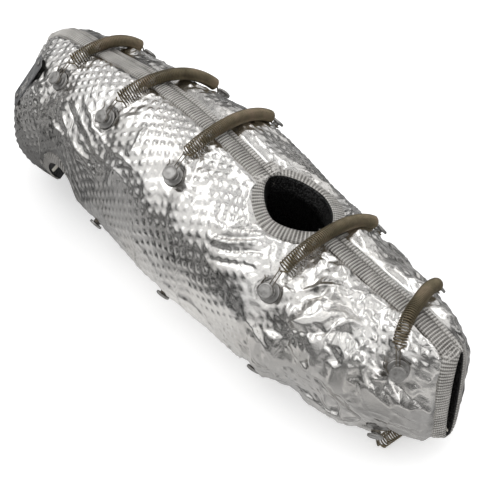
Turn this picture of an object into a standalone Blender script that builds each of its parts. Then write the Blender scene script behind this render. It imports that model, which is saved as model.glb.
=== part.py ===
"""Foil-faced insulation jacket for a four-port exhaust manifold.

Two clamshell halves (foil, blanket, inner mesh, knitted edge binding) meet on one
upright plane, y = SEAM_Y, and are laced together with springs between capstan studs.
+X runs along the jacket, -Y faces out from the front half, +Z is up through the
outlet opening. The lacing springs under the belly carry it, at z = 0.
"""
import math

import bmesh
import bpy
from mathutils import Matrix, Vector

MM = 0.001

# ---- driving dimensions, millimetres ----------------------------------------
HALF_LENGTH = 270.0
SEAM_Y = 7.16             # the seam plane lies behind the middle of the jacket's depth
SEAM_GAP = 0.3            # each half stops this far from the seam plane
FIT_GAP = 0.3             # between touching pieces
LAYER_GAP = 0.6           # between the layers of a panel
FOIL = 0.8
BLANKET = 12.0
INNER_MESH = 0.8
BINDING = 1.2             # thickness of the knitted edge tape
BINDING_WIDTH = 12.0

# stations along X: x, front depth, back depth, top height, underside height
STATIONS = (
    (-270, 48, 36, 131, 29),
    (-235, 71, 48, 152, 16),
    (-170, 70, 44, 157, 15),
    (-90, 73, 50, 164, 13),
    (0, 84, 70, 158, 13),
    (90, 81, 60, 138, 13),
    (180, 73, 50, 123, 13),
    (235, 60, 43, 117, 13),
    (270, 46, 36, 108, 20),
)
LEFT_TURN = (-198.0, 1.8)   # where the left end starts to round in, and how squarely
RIGHT_TURN = (188.0, 1.9)
UPPER_SQUARE = 2.15         # superellipse power of the section above its middle
LEFT_SQUARE = 1.5           # the same at the left end, where the sides slope straighter
LEFT_SQUARE_RUN = (-260.0, -140.0)
LOWER_SQUARE = 2.7          # below it, flatter so that the jacket can stand
LEAN = 0.2                  # slope of the left end: its upper part stands further in
LEAN_FOOT = 51.0            # height at which the leaning end isn't moved
LEAN_START = -120.0

# outlet opening in the top seam
OUTLET_X = 95.0
OUTLET_HALF = 33.0
OUTLET_FRONT = 26.0
OUTLET_BACK = 25.0
OUTLET_POWER = 1.6          # between a diamond, 1, and an ellipse, 2

# the seam tape is cut on each side of the outlet
TAPE_SPLIT_LEFT = (OUTLET_X - OUTLET_HALF - BINDING_WIDTH - 0.6,
                   OUTLET_X - OUTLET_HALF - BINDING_WIDTH)
TAPE_SPLIT_RIGHT = (OUTLET_X + OUTLET_HALF + BINDING_WIDTH,
                    OUTLET_X + OUTLET_HALF + BINDING_WIDTH + 0.6)

# openings for the four head ports along the underside
PORT_PITCH = 112.0
PORT_FIRST = -148.0
PORT_COUNT = 4
PORT_HALF = 28.0
PORT_DEPTH = 27.0

# open lower edge at the left end, as an angle down the section
LEFT_EDGE_FRONT = math.radians(136)
LEFT_EDGE_BACK = math.radians(146)
LEFT_EDGE_END = -120.0      # past the first port the panels reach the underside seam
FIRST_PORT_TOP = math.radians(103)

# lacing
SPRING_OD = 11.0
SPRING_RIDE = 2.6           # gap between a spring and the foil
WIRE = 1.1
WIRE_START = 1.8          # from a spring's end face to the middle of the lacing wire
HEAD_D = 12.5
HEAD_T = 2.2
NECK_D = 5.6
NECK_L = 5.2
FLANGE_D = 17.0
FLANGE_T = 1.0
# each top lacing: x and angle of the front capstan, x and angle of the rear one
TOP_LACING = (
    (-174, 41, -150, 44),
    (-88, 44, -60, 52),
    (8, 40, 0, 50),
    (134, 52, 136, 52),
    (243, 57, 208, 50),
)
LOWER_X = (-98.0, 14.0, 126.0, 234.0)
LOWER_FRONT = 130.0
LOWER_BACK = 132.0

# rating plate at the left end
PLATE_X = -222.0
PLATE_ANGLE = 56.0
PLATE_W = 22.0
PLATE_L = 50.0
PLATE_T = 0.9
RIVET_D = 5.0
RIVET_T = 1.4

END_TAPE_ROWS = 10
END_TAPE_LIFT = 0.7       # clears the facets of the tightly rounded ends
TAPE_LIFT = 0.5
COLUMNS = 22
ROWS = 8


# ---- the jacket's surface ----------------------------------------------------
def station_value(x, column):
    """Smooth curve through one column of STATIONS."""
    rows = STATIONS
    k = 0
    while k < len(rows) - 2 and x > rows[k + 1][0]:
        k += 1

    def slope(n):
        low, high = rows[max(n - 1, 0)], rows[min(n + 1, len(rows) - 1)]
        return (high[column] - low[column]) / (high[0] - low[0])

    start, end = rows[k], rows[k + 1]
    step = end[0] - start[0]
    s = (x - start[0]) / step
    return (
        (2 * s**3 - 3 * s**2 + 1) * start[column]
        + (s**3 - 2 * s**2 + s) * step * slope(k)
        + (3 * s**2 - 2 * s**3) * end[column]
        + (s**3 - s**2) * step * slope(k + 1)
    )


def end_factor(x):
    """1 along the middle, falling to 0 where the two panels meet at each end."""
    if x < LEFT_TURN[0]:
        reach, power = (LEFT_TURN[0] - x) / (LEFT_TURN[0] + HALF_LENGTH), LEFT_TURN[1]
    elif x > RIGHT_TURN[0]:
        reach, power = (x - RIGHT_TURN[0]) / (HALF_LENGTH - RIGHT_TURN[0]), RIGHT_TURN[1]
    else:
        return 1.0
    return max(0.0, 1.0 - min(reach, 1.0) ** power) ** (1.0 / power)


def section_power(x, cosine):
    """How square the section is at x, above or below its middle."""
    if cosine < 0:
        return LOWER_SQUARE
    low, high = LEFT_SQUARE_RUN
    share = min(max((x - low) / (high - low), 0.0), 1.0)
    return LEFT_SQUARE + (UPPER_SQUARE - LEFT_SQUARE) * share * share * (3 - 2 * share)


def surface(x, angle, side, inset=0.0):
    """A point of the jacket. angle runs from the top seam, 0, to the underside, pi."""
    depth = station_value(x, 1 if side < 0 else 2) - inset
    top = station_value(x, 3) - inset
    bottom = station_value(x, 4) + inset
    sine, cosine = math.sin(angle), math.cos(angle)
    power = section_power(x, cosine)
    radius = (abs(sine) ** power + abs(cosine) ** power) ** (-1.0 / power)
    inward = inset * math.copysign((abs(x) / HALF_LENGTH) ** 6, x)
    height = (top + bottom) / 2 + (top - bottom) / 2 * cosine * radius
    share = min(max((LEAN_START - x) / (LEAN_START + HALF_LENGTH), 0.0), 1.0)
    lean = LEAN * (height - LEAN_FOOT) * share * share * (3 - 2 * share)
    return Vector((
        x - inward + lean,
        side * (SEAM_GAP + end_factor(x) * depth * sine * radius),
        height,
    ))


def outward(x, angle, side):
    """Unit normal of the outer face."""
    along = surface(x + 1, angle, side) - surface(x - 1, angle, side)
    around = surface(x, angle + 0.01, side) - surface(x, angle - 0.01, side)
    return (along.cross(around) * side).normalized()


def rounded_bump(x, middle, half, power):
    """1 in the middle of an opening, 0 past its ends, with rounded shoulders."""
    reach = abs(x - middle) / half
    return 0.0 if reach >= 1.0 else (1.0 - reach**power) ** (1.0 / power)


def top_edge(x, side):
    """Angle at which a panel starts: the seam, or the rim of the outlet."""
    reach = OUTLET_FRONT if side < 0 else OUTLET_BACK
    depth = station_value(x, 1 if side < 0 else 2)
    return math.asin(reach * rounded_bump(x, OUTLET_X, OUTLET_HALF, OUTLET_POWER) / depth)


def port_positions():
    return [PORT_FIRST + PORT_PITCH * k for k in range(PORT_COUNT)]


def bottom_edge(x, side):
    """Angle at which a panel ends: the underside seam, or the rim of a port."""
    depth = station_value(x, 1 if side < 0 else 2)
    first, *others = port_positions()
    left = LEFT_EDGE_FRONT if side < 0 else LEFT_EDGE_BACK
    if x < LEFT_EDGE_END:
        lift = rounded_bump(x, first, PORT_HALF, 2.2)
        return left + (FIRST_PORT_TOP - left) * lift
    step = min((x - LEFT_EDGE_END) / 16.0, 1.0)
    edge = left + (math.pi - left) * step * step * (3 - 2 * step)
    for middle in others:
        edge -= math.asin(PORT_DEPTH * rounded_bump(x, middle, PORT_HALF, 2.2) / depth)
    return edge


def columns():
    """X positions along a panel: even, with one at each opening's ends and middle."""
    start, end = -HALF_LENGTH, HALF_LENGTH
    marks = [OUTLET_X + k * OUTLET_HALF for k in (-1, -0.85, -0.4, 0, 0.4, 0.85, 1)]
    marks += [p + k * PORT_HALF for p in port_positions() for k in (-1, -0.9, 0, 0.9, 1)]
    marks += [LEFT_EDGE_END + 8.0, LEFT_EDGE_END + 16.0]
    marks += [s * (HALF_LENGTH - d) for s in (-1, 1) for d in (0.0, 1.0, 4.0, 9.0)]
    marks += [*TAPE_SPLIT_LEFT, *TAPE_SPLIT_RIGHT]
    evenly = [start + (end - start) * k / COLUMNS for k in range(COLUMNS + 1)]
    clear = [e for e in evenly if all(abs(e - m) > 5.5 for m in marks)]
    return sorted(marks + clear)


# ---- mesh helpers ------------------------------------------------------------
def material(name, colour, roughness, metallic):
    made = bpy.data.materials.new(name)
    made.use_nodes = True
    shader = made.node_tree.nodes["Principled BSDF"]
    shader.inputs["Base Color"].default_value = (*colour, 1.0)
    shader.inputs["Roughness"].default_value = roughness
    shader.inputs["Metallic"].default_value = metallic
    return made


def placed(point):
    """Metres in the object's frame, from millimetres about the seam plane."""
    return (point + Vector((0, SEAM_Y, 0))) * MM


def new_object(name, mesh_builder, finish, origin=Vector((0, 0, 0)), parent=None):
    """Make an object from a bmesh filled in millimetres about the seam plane."""
    bm = bmesh.new()
    mesh_builder(bm)
    bmesh.ops.recalc_face_normals(bm, faces=bm.faces)
    if bm.calc_volume(signed=True) < 0:
        bmesh.ops.reverse_faces(bm, faces=bm.faces)
    bmesh.ops.transform(bm, matrix=Matrix.Scale(MM, 4) @ Matrix.Translation(-origin),
                        verts=bm.verts)
    mesh = bpy.data.meshes.new(name)
    bm.to_mesh(mesh)
    bm.free()
    mesh.shade_smooth()
    mesh.set_sharp_from_angle(angle=math.radians(40))
    made = bpy.data.objects.new(name, mesh)
    bpy.context.collection.objects.link(made)
    made.data.materials.append(material(name, *finish))
    made.location = placed(origin)
    if parent:
        made.parent = parent
        made.location = placed(origin) - parent.location
    return made


def thick_sheet(bm, outer, inner):
    """Close two equal grids of points into one solid, with faces round their rims.

    Every cell is split along the same diagonal, so that nested sheets stay apart.
    """
    rows, count = len(outer), len(outer[0])
    out = [[bm.verts.new(p) for p in row] for row in outer]
    back = [[bm.verts.new(p) for p in row] for row in inner]
    for i in range(rows - 1):
        for j in range(count - 1):
            for grid in (out, back):
                low, high = grid[i], grid[i + 1]
                bm.faces.new((low[j], low[j + 1], high[j + 1]))
                bm.faces.new((low[j], high[j + 1], high[j]))
    rim = [(i, 0) for i in range(rows)] + [(rows - 1, j) for j in range(1, count)]
    rim += [(i, count - 1) for i in range(rows - 2, -1, -1)]
    rim += [(0, j) for j in range(count - 2, 0, -1)]
    for (i, j), (m, n) in zip(rim, rim[1:] + rim[:1]):
        bm.faces.new((out[i][j], out[m][n], back[m][n], back[i][j]))


def panel_grid(side, inset, places):
    grid = []
    for x in places:
        start, end = top_edge(x, side), bottom_edge(x, side)
        tape = around_angle(x, side, BINDING_WIDTH)
        inner = [start + tape, end - tape]
        step = (inner[1] - inner[0]) / (ROWS - 2)
        angles = [start] + [inner[0] + step * k for k in range(ROWS - 1)] + [end]
        grid.append([surface(x, a, side, inset) for a in angles])
    return grid


def panel(side, outer_inset, thickness):
    places = columns()
    outer = panel_grid(side, outer_inset, places)
    inner = panel_grid(side, outer_inset + thickness, places)
    return lambda bm: thick_sheet(bm, outer, inner)


def raised(x, angle, side, height):
    """A point above the outer face."""
    return surface(x, angle, side) + outward(x, angle, side) * height


def around_angle(x, side, width):
    """The angle that spans a given width of the surface, near the seam."""
    step = 0.05
    chord = (surface(x, 1.0 + step, side) - surface(x, 1.0, side)).length
    return width / max(chord / step, 25.0)


def edge_tape(side, start, end, top):
    """Binding along a panel's top edge or bottom edge, from one x to another."""
    outer, inner = [], []
    for x in [place for place in columns() if start <= place <= end]:
        edge = top_edge(x, side) if top else bottom_edge(x, side)
        tape = around_angle(x, side, BINDING_WIDTH) * (1 if top else -1)
        angles = sorted((edge + 0.05 * tape, edge + 0.95 * tape))
        inner.append([raised(x, a, side, TAPE_LIFT) for a in angles])
        outer.append([raised(x, a, side, TAPE_LIFT + BINDING) for a in angles])
    for grid in (inner, outer):
        for row in grid:
            for point in row:
                point.y = min(point.y, -SEAM_GAP) if side < 0 else max(point.y, SEAM_GAP)
    return lambda bm: thick_sheet(bm, outer, inner)


def end_tape(side, right):
    """Binding down one end of a panel, between the two edge tapes."""
    sign = 1 if right else -1
    outer, inner = [], []
    for back_from_tip in (1.0, 4.0, 9.0, BINDING_WIDTH):
        x = sign * (HALF_LENGTH - back_from_tip)
        tape = around_angle(x, side, BINDING_WIDTH) + 0.03
        start, end = top_edge(x, side) + tape, bottom_edge(x, side) - tape
        angles = [start + (end - start) * k / END_TAPE_ROWS for k in range(END_TAPE_ROWS + 1)]
        inner.append([raised(x, a, side, END_TAPE_LIFT) for a in angles])
        outer.append([raised(x, a, side, END_TAPE_LIFT + BINDING) for a in angles])
    for grid in (inner, outer):
        for row in grid:
            for point in row:
                point.y = min(point.y, -SEAM_GAP) if side < 0 else max(point.y, SEAM_GAP)
    return lambda bm: thick_sheet(bm, outer, inner)


def turned(bm, profile, base, axis, sides=8):
    """Turn a closed (radius, height) outline about an axis standing at base."""
    turn = axis.to_track_quat("Z", "Y").to_matrix()
    rings = []
    for radius, height in profile:
        if radius == 0:
            rings.append([bm.verts.new(base + turn @ Vector((0, 0, height)))])
            continue
        ring = []
        for k in range(sides):
            angle = 2 * math.pi * k / sides
            local = Vector((radius * math.cos(angle), radius * math.sin(angle), height))
            ring.append(bm.verts.new(base + turn @ local))
        rings.append(ring)
    for low, high in zip(rings, rings[1:]):
        for k in range(sides):
            n = (k + 1) % sides
            if len(low) == 1:
                bm.faces.new((low[0], high[k], high[n]))
            elif len(high) == 1:
                bm.faces.new((low[k], low[n], high[0]))
            else:
                bm.faces.new((low[k], low[n], high[n], high[k]))


def capstan_profile():
    flange, neck, head = FLANGE_D / 2, NECK_D / 2, HEAD_D / 2
    top = FLANGE_T + NECK_L + HEAD_T
    return [
        (0, 0), (flange, 0), (flange, FLANGE_T), (neck, FLANGE_T),
        (neck, FLANGE_T + NECK_L), (head, FLANGE_T + NECK_L), (head, top - 0.7),
        (head - 0.9, top), (0, top),
    ]


def swept(bm, points, radii, sides):
    """A closed tube along points, with a radius at each."""
    rings = []
    side_hint = Vector((1, 0, 0))
    for k, point in enumerate(points):
        ahead = points[min(k + 1, len(points) - 1)] - points[max(k - 1, 0)]
        ahead.normalize()
        across = (side_hint - ahead * side_hint.dot(ahead)).normalized()
        side_hint = across
        up = ahead.cross(across)
        ring = []
        for n in range(sides):
            angle = 2 * math.pi * n / sides
            offset = across * math.cos(angle) + up * math.sin(angle)
            ring.append(bm.verts.new(point + offset * radii[k]))
        rings.append(ring)
    for low, high in zip(rings, rings[1:]):
        for n in range(sides):
            m = (n + 1) % sides
            bm.faces.new((low[n], low[m], high[m], high[n]))
    bm.faces.new(rings[0])
    bm.faces.new(rings[-1])


# ---- lacing ------------------------------------------------------------------
def capstan_at(x, degrees, side):
    """Where a capstan stands, which way it points, and the middle of its neck."""
    angle = math.radians(degrees)
    normal = outward(x, angle, side)
    base = surface(x, angle, side) + normal * (FIT_GAP + 0.25)
    return base, normal, base + normal * (FLANGE_T + NECK_L / 2)


def section_route(front, back, over, ride, steps):
    """Points from a front capstan round the section to a back one, off the surface."""
    (xf, af), (xb, ab) = front, back
    close = math.pi if not over else 0.0
    total = abs(af - close) + abs(ab - close)
    points = []
    for k in range(steps + 1):
        share = k / steps
        travelled = share * total
        x = xf + (xb - xf) * share
        if travelled < abs(af - close):
            angle = af - travelled if over else af + travelled
            points.append(raised(x, angle, -1, ride))
        else:
            left = travelled - abs(af - close)
            angle = left if over else math.pi - left
            points.append(raised(x, angle, 1, ride))
    return points


def resample(points, start, end, count):
    """Evenly spaced points on a polyline between two lengths measured from its start."""
    lengths = [0.0]
    for a, b in zip(points, points[1:]):
        lengths.append(lengths[-1] + (b - a).length)
    total = lengths[-1]
    out = []
    for k in range(count + 1):
        want = start + (total - end - start) * k / count
        n = max(i for i in range(len(lengths) - 1) if lengths[i] <= want + 1e-9)
        share = (want - lengths[n]) / (lengths[n + 1] - lengths[n])
        out.append(points[n].lerp(points[n + 1], share))
    return out


def loop_round(neck, axis, toward, radius, turn=1.6 * math.pi, count=6):
    """Points of an open loop of wire round a capstan's neck, opening toward a point."""
    flat = toward - neck
    flat = (flat - axis * flat.dot(axis)).normalized()
    other = axis.cross(flat)
    points = []
    for k in range(count + 1):
        angle = math.pi - turn / 2 + turn * k / count - math.pi
        points.append(neck + (flat * -math.cos(angle) + other * math.sin(angle)) * radius)
    return points


def spring_and_hook(coil, neck, axis):
    """A spring's envelope along coil, then its end wire hooked round a neck."""
    loop = loop_round(neck, axis, coil[-1], NECK_D / 2 + WIRE / 2 + 0.5)
    points = coil + [coil[-1].lerp(loop[0], 0.35)] + loop
    thin = WIRE / 2
    radii = [SPRING_OD / 2] * len(coil) + [thin] * (len(loop) + 1)
    return lambda bm: swept(bm, points, radii, 8)


def hairpin(end, neck, axis):
    """The lacing wire from a spring's front end, round a capstan's neck and back."""
    loop = loop_round(neck, axis, end, NECK_D / 2 + WIRE / 2 + 0.5)
    across = (loop[-1] - loop[0]).normalized() * 1.6
    points = [end - across] + loop + [end + across]
    return lambda bm: swept(bm, points, [WIRE / 2] * len(points), 5)


# ---- the assembly ------------------------------------------------------------
for existing in list(bpy.data.objects):
    bpy.data.objects.remove(existing, do_unlink=True)

FOIL_LOOK = ((0.72, 0.70, 0.66), 0.25, 1.0)
BLANKET_LOOK = ((0.78, 0.76, 0.70), 0.95, 0.0)
MESH_LOOK = ((0.38, 0.37, 0.34), 0.55, 0.8)
TAPE_LOOK = ((0.34, 0.33, 0.30), 0.55, 0.8)
STUD_LOOK = ((0.45, 0.44, 0.41), 0.4, 1.0)
SPRING_LOOK = ((0.26, 0.22, 0.16), 0.42, 1.0)
PLATE_LOOK = ((0.36, 0.35, 0.36), 0.4, 1.0)

for side, half in ((-1, "front"), (1, "back")):
    new_object(f"{half}_outer_foil", panel(side, 0.0, FOIL), FOIL_LOOK)
    core = FOIL + LAYER_GAP
    new_object(f"{half}_blanket", panel(side, core, BLANKET), BLANKET_LOOK)
    liner = core + BLANKET + LAYER_GAP
    new_object(f"{half}_inner_mesh", panel(side, liner, INNER_MESH), MESH_LOOK)
    end = HALF_LENGTH - 1.0
    new_object(f"{half}_seam_tape_left", edge_tape(side, -end, TAPE_SPLIT_LEFT[0], True),
               TAPE_LOOK)
    new_object(f"{half}_outlet_tape",
               edge_tape(side, TAPE_SPLIT_LEFT[1], TAPE_SPLIT_RIGHT[0], True), TAPE_LOOK)
    new_object(f"{half}_seam_tape_right", edge_tape(side, TAPE_SPLIT_RIGHT[1], end, True),
               TAPE_LOOK)
    new_object(f"{half}_port_tape", edge_tape(side, -end, end, False), TAPE_LOOK)
    new_object(f"{half}_end_tape_left", end_tape(side, False), TAPE_LOOK)
    new_object(f"{half}_end_tape_right", end_tape(side, True), TAPE_LOOK)


def place_capstan(name, x, degrees, side):
    base, normal, neck = capstan_at(x, degrees, side)
    new_object(name, lambda bm: turned(bm, capstan_profile(), base, normal), STUD_LOOK)
    return neck, normal


RIDE = SPRING_OD / 2 + SPRING_RIDE
for number, (xf, af, xb, ab) in enumerate(TOP_LACING, 1):
    front_neck, front_axis = place_capstan(f"top_capstan_front_{number}", xf, af, -1)
    rear_neck, rear_axis = place_capstan(f"top_capstan_rear_{number}", xb, ab, 1)
    route = section_route((xf, math.radians(af)), (xb, math.radians(ab)), True, RIDE, 40)
    coil = resample(route, 22.0, 14.0, 8)
    pivot = bpy.data.objects.new(f"lacing_pivot_{number}", None)
    pivot.location = placed(front_neck)
    bpy.context.collection.objects.link(pivot)
    new_object(f"top_spring_{number}", spring_and_hook(coil, rear_neck, rear_axis),
               SPRING_LOOK, front_neck, pivot)
    start = coil[0] + (coil[0] - coil[1]).normalized() * WIRE_START
    new_object(f"lacing_wire_{number}", hairpin(start, front_neck, front_axis),
               SPRING_LOOK, front_neck, pivot)

for number, x in enumerate(LOWER_X, 1):
    front_neck, front_axis = place_capstan(f"lower_capstan_front_{number}", x, LOWER_FRONT, -1)
    rear_neck, rear_axis = place_capstan(f"lower_capstan_rear_{number}", x, LOWER_BACK, 1)
    reach = 34.0
    feet = [Vector((x, -reach + reach * k, SPRING_OD / 2)) for k in range(3)]
    new_object(f"lower_spring_{number}", spring_and_hook(feet, rear_neck, rear_axis),
               SPRING_LOOK)
    start = feet[0] + Vector((0, -WIRE_START, 0))
    new_object(f"lower_wire_{number}", hairpin(start, front_neck, front_axis), SPRING_LOOK)

# rating plate, flat, on two rivets
plate_angle = math.radians(PLATE_ANGLE)
plate_normal = outward(PLATE_X, plate_angle, -1)
plate_middle = surface(PLATE_X, plate_angle, -1) + plate_normal * 3.0
plate_up = (Vector((0, 0, 1)) - plate_normal * plate_normal.z).normalized()
plate_across = plate_up.cross(plate_normal)


def plate_shape(bm):
    made = bmesh.ops.create_cube(bm, size=1.0)
    bmesh.ops.scale(bm, vec=(PLATE_W, PLATE_L, PLATE_T), verts=made["verts"])
    upright = [e for e in bm.edges if abs(e.verts[0].co.z - e.verts[1].co.z) > PLATE_T / 2]
    bmesh.ops.bevel(bm, geom=upright, offset=3.0, segments=3, affect="EDGES")
    frame = Matrix((plate_across, plate_up, plate_normal)).transposed().to_4x4()
    bmesh.ops.transform(bm, matrix=Matrix.Translation(plate_middle) @ frame, verts=bm.verts)


new_object("rating_plate", plate_shape, PLATE_LOOK)
for name, along in (("upper", 1), ("lower", -1)):
    seat = plate_middle + plate_up * (along * (PLATE_L / 2 - 5.0))
    seat += plate_normal * (PLATE_T / 2 + FIT_GAP)
    outline = [(0, 0), (RIVET_D / 2, 0), (RIVET_D / 2 * 0.9, RIVET_T * 0.6),
               (RIVET_D / 2 * 0.5, RIVET_T), (0, RIVET_T)]
    new_object(f"plate_rivet_{name}",
               lambda bm: turned(bm, outline, seat, plate_normal, 10), STUD_LOOK)
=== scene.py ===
"""Looks for the foil-faced manifold jacket: embossed and crumpled foil skins, knitted
hems, coiled lacing springs, turned studs and a blank plate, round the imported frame.
Lengths below are millimetres about the seam plane; placed() turns them into metres.
"""

import math

import bpy
import numpy as np
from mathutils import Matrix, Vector
from mathutils.bvhtree import BVHTree
from mathutils.geometry import delaunay_2d_cdt


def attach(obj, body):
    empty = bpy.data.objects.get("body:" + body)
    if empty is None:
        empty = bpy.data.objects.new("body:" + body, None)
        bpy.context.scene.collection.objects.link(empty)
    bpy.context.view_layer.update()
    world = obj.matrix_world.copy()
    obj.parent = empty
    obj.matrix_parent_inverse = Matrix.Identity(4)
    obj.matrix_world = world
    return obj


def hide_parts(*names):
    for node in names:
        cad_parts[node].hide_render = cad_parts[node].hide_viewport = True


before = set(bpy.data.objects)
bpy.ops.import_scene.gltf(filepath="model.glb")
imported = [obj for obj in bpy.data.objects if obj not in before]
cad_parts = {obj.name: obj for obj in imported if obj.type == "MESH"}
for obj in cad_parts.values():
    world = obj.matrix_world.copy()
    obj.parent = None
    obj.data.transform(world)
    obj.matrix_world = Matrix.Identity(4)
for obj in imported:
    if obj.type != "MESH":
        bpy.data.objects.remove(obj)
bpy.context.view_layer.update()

MM = 0.001
SEAM_Y = 7.16              # the seam plane, behind the middle of the jacket's depth
FRONT, BACK = -1, 1
HALVES = (("front", FRONT), ("back", BACK))

# ---- camera -------------------------------------------------------------------
CAMERA_AZIMUTH = math.radians(50)
CAMERA_ELEVATION = math.radians(40)
CAMERA_DISTANCE = 1.05
CAMERA_TARGET = Vector((0.024, 0.00716, 0.055))
CAMERA_LENS = 91.8

toward_camera = Vector((
    math.sin(CAMERA_AZIMUTH) * math.cos(CAMERA_ELEVATION),
    -math.cos(CAMERA_AZIMUTH) * math.cos(CAMERA_ELEVATION),
    math.sin(CAMERA_ELEVATION),
))
camera = bpy.data.objects.new("camera", bpy.data.cameras.new("camera"))
bpy.context.collection.objects.link(camera)
camera.location = CAMERA_TARGET + toward_camera * CAMERA_DISTANCE
camera.rotation_euler = toward_camera.to_track_quat("Z", "Y").to_euler()
camera.data.lens = CAMERA_LENS
bpy.context.scene.camera = camera

# ---- the jacket's surface, as the solids have it --------------------------------
HALF_LENGTH = 270.0
SEAM_GAP = 0.3
# x, front depth, back depth, top height, underside height
STATIONS = np.array((
    (-270, 48, 36, 131, 29),
    (-235, 71, 48, 152, 16),
    (-170, 70, 44, 157, 15),
    (-90, 73, 50, 164, 13),
    (0, 84, 70, 158, 13),
    (90, 81, 60, 138, 13),
    (180, 73, 50, 123, 13),
    (235, 60, 43, 117, 13),
    (270, 46, 36, 108, 20),
), float)
LEFT_TURN = (-198.0, 1.8)
RIGHT_TURN = (188.0, 1.9)
UPPER_SQUARE = 2.15
LEFT_SQUARE = 1.5
LEFT_SQUARE_RUN = (-260.0, -140.0)
LOWER_SQUARE = 2.7
LEAN, LEAN_FOOT, LEAN_START = 0.2, 51.0, -120.0
OUTLET_X, OUTLET_HALF = 95.0, 33.0
OUTLET_FRONT, OUTLET_BACK, OUTLET_POWER = 26.0, 25.0, 1.6
HEM = 12.0                 # width of the knitted tape
COURSE = 1.5               # spacing of the loops along a rib
RIB = 2.7                  # spacing of the knit's ribs along a hem
HEM_SPLITS = (OUTLET_X - OUTLET_HALF - HEM - 0.3, OUTLET_X + OUTLET_HALF + HEM + 0.3)
PORT_PITCH, PORT_FIRST, PORT_COUNT = 112.0, -148.0, 4
PORT_HALF, PORT_DEPTH = 28.0, 27.0
LEFT_EDGE = {FRONT: math.radians(136), BACK: math.radians(146)}
LEFT_EDGE_END, LEFT_EDGE_RUN = -120.0, 16.0
FIRST_PORT_TOP = math.radians(103)
FOIL, LAYER_GAP, BLANKET, INNER_MESH = 0.8, 0.6, 12.0, 0.8

# each top lacing: x and angle of the front stud, then of the rear one
TOP_LACING = (
    (-174, 41, -150, 44),
    (-88, 44, -60, 52),
    (8, 40, 0, 50),
    (134, 52, 136, 52),
    (243, 57, 208, 50),
)
LOWER_X = (-98.0, 14.0, 126.0, 234.0)
LOWER_FRONT, LOWER_BACK = 130.0, 132.0
SPRING_OD, SPRING_WIRE, SPRING_RIDE = 11.0, 1.25, 2.6
TIGHT_PITCH, OPEN_PITCH, OPEN_SHARE = 1.32, 2.35, 0.62
LACING_WIRE = 0.95
HEAD_D, HEAD_T, NECK_D, NECK_L = 12.5, 2.2, 5.6, 5.2
FLANGE_D, FLANGE_T = 17.0, 1.0
STUD_LIFT = 0.55
PLATE_X, PLATE_ANGLE = -222.0, math.radians(56)
PLATE_W, PLATE_L, PLATE_T, PLATE_LIFT = 22.0, 50.0, 0.9, 3.0


def station(x, column):
    """Smooth curve through one column of STATIONS, for an array of x."""
    places, values = STATIONS[:, 0], STATIONS[:, column]
    before = np.maximum(np.arange(len(places)) - 1, 0)
    after = np.minimum(np.arange(len(places)) + 1, len(places) - 1)
    slopes = (values[after] - values[before]) / (places[after] - places[before])
    k = np.clip(np.searchsorted(places, x, side="left") - 1, 0, len(places) - 2)
    step = places[k + 1] - places[k]
    s = (x - places[k]) / step
    return (
        (2 * s**3 - 3 * s**2 + 1) * values[k]
        + (s**3 - 2 * s**2 + s) * step * slopes[k]
        + (3 * s**2 - 2 * s**3) * values[k + 1]
        + (s**3 - s**2) * step * slopes[k + 1]
    )


def end_factor(x):
    """1 along the jacket, falling to 0 at its rounded ends."""
    left = (LEFT_TURN[0] - x) / (LEFT_TURN[0] + HALF_LENGTH)
    right = (x - RIGHT_TURN[0]) / (HALF_LENGTH - RIGHT_TURN[0])
    fall = np.ones_like(x)
    for reach, power in ((left, LEFT_TURN[1]), (right, RIGHT_TURN[1])):
        reach = np.clip(reach, 0.0, 1.0)
        fall = fall * np.maximum(0.0, 1.0 - reach**power) ** (1.0 / power)
    return fall


def smooth(value):
    value = np.clip(value, 0.0, 1.0)
    return value * value * (3 - 2 * value)


def surface(x, angle, side, inset=0.0):
    """Points of the jacket. angle runs from the top seam, 0, to the underside, pi."""
    x, angle = np.broadcast_arrays(np.asarray(x, float), np.asarray(angle, float))
    depth = station(x, 1 if side == FRONT else 2) - inset
    top = station(x, 3) - inset
    bottom = station(x, 4) + inset
    sine, cosine = np.sin(angle), np.cos(angle)
    share = smooth((x - LEFT_SQUARE_RUN[0]) / (LEFT_SQUARE_RUN[1] - LEFT_SQUARE_RUN[0]))
    upper = LEFT_SQUARE + (UPPER_SQUARE - LEFT_SQUARE) * share
    power = np.where(cosine < 0, LOWER_SQUARE, upper)
    radius = (np.abs(sine) ** power + np.abs(cosine) ** power) ** (-1.0 / power)
    inward = inset * np.sign(x) * (np.abs(x) / HALF_LENGTH) ** 6
    height = (top + bottom) / 2 + (top - bottom) / 2 * cosine * radius
    lean = LEAN * (height - LEAN_FOOT)
    lean = lean * smooth((LEAN_START - x) / (LEAN_START + HALF_LENGTH))
    return np.stack((
        x - inward + lean,
        side * (SEAM_GAP + end_factor(x) * depth * sine * radius),
        height,
    ), -1)


def outward(x, angle, side):
    x, angle = np.asarray(x, float), np.asarray(angle, float)
    along = surface(np.minimum(x + 1, HALF_LENGTH), angle, side)
    along = along - surface(np.maximum(x - 1, -HALF_LENGTH), angle, side)
    around = surface(x, angle + 0.01, side) - surface(x, angle - 0.01, side)
    normal = np.cross(along, around) * side
    return normal / np.maximum(np.linalg.norm(normal, axis=-1, keepdims=True), 1e-9)


def bump(x, middle, half, power):
    """1 in the middle of an opening, 0 past its ends, with rounded shoulders."""
    reach = np.clip(np.abs(x - middle) / half, 0.0, 1.0)
    return (1.0 - reach**power) ** (1.0 / power)


def top_edge(x, side):
    reach = OUTLET_FRONT if side == FRONT else OUTLET_BACK
    depth = station(x, 1 if side == FRONT else 2)
    return np.arcsin(reach * bump(x, OUTLET_X, OUTLET_HALF, OUTLET_POWER) / depth)


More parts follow.
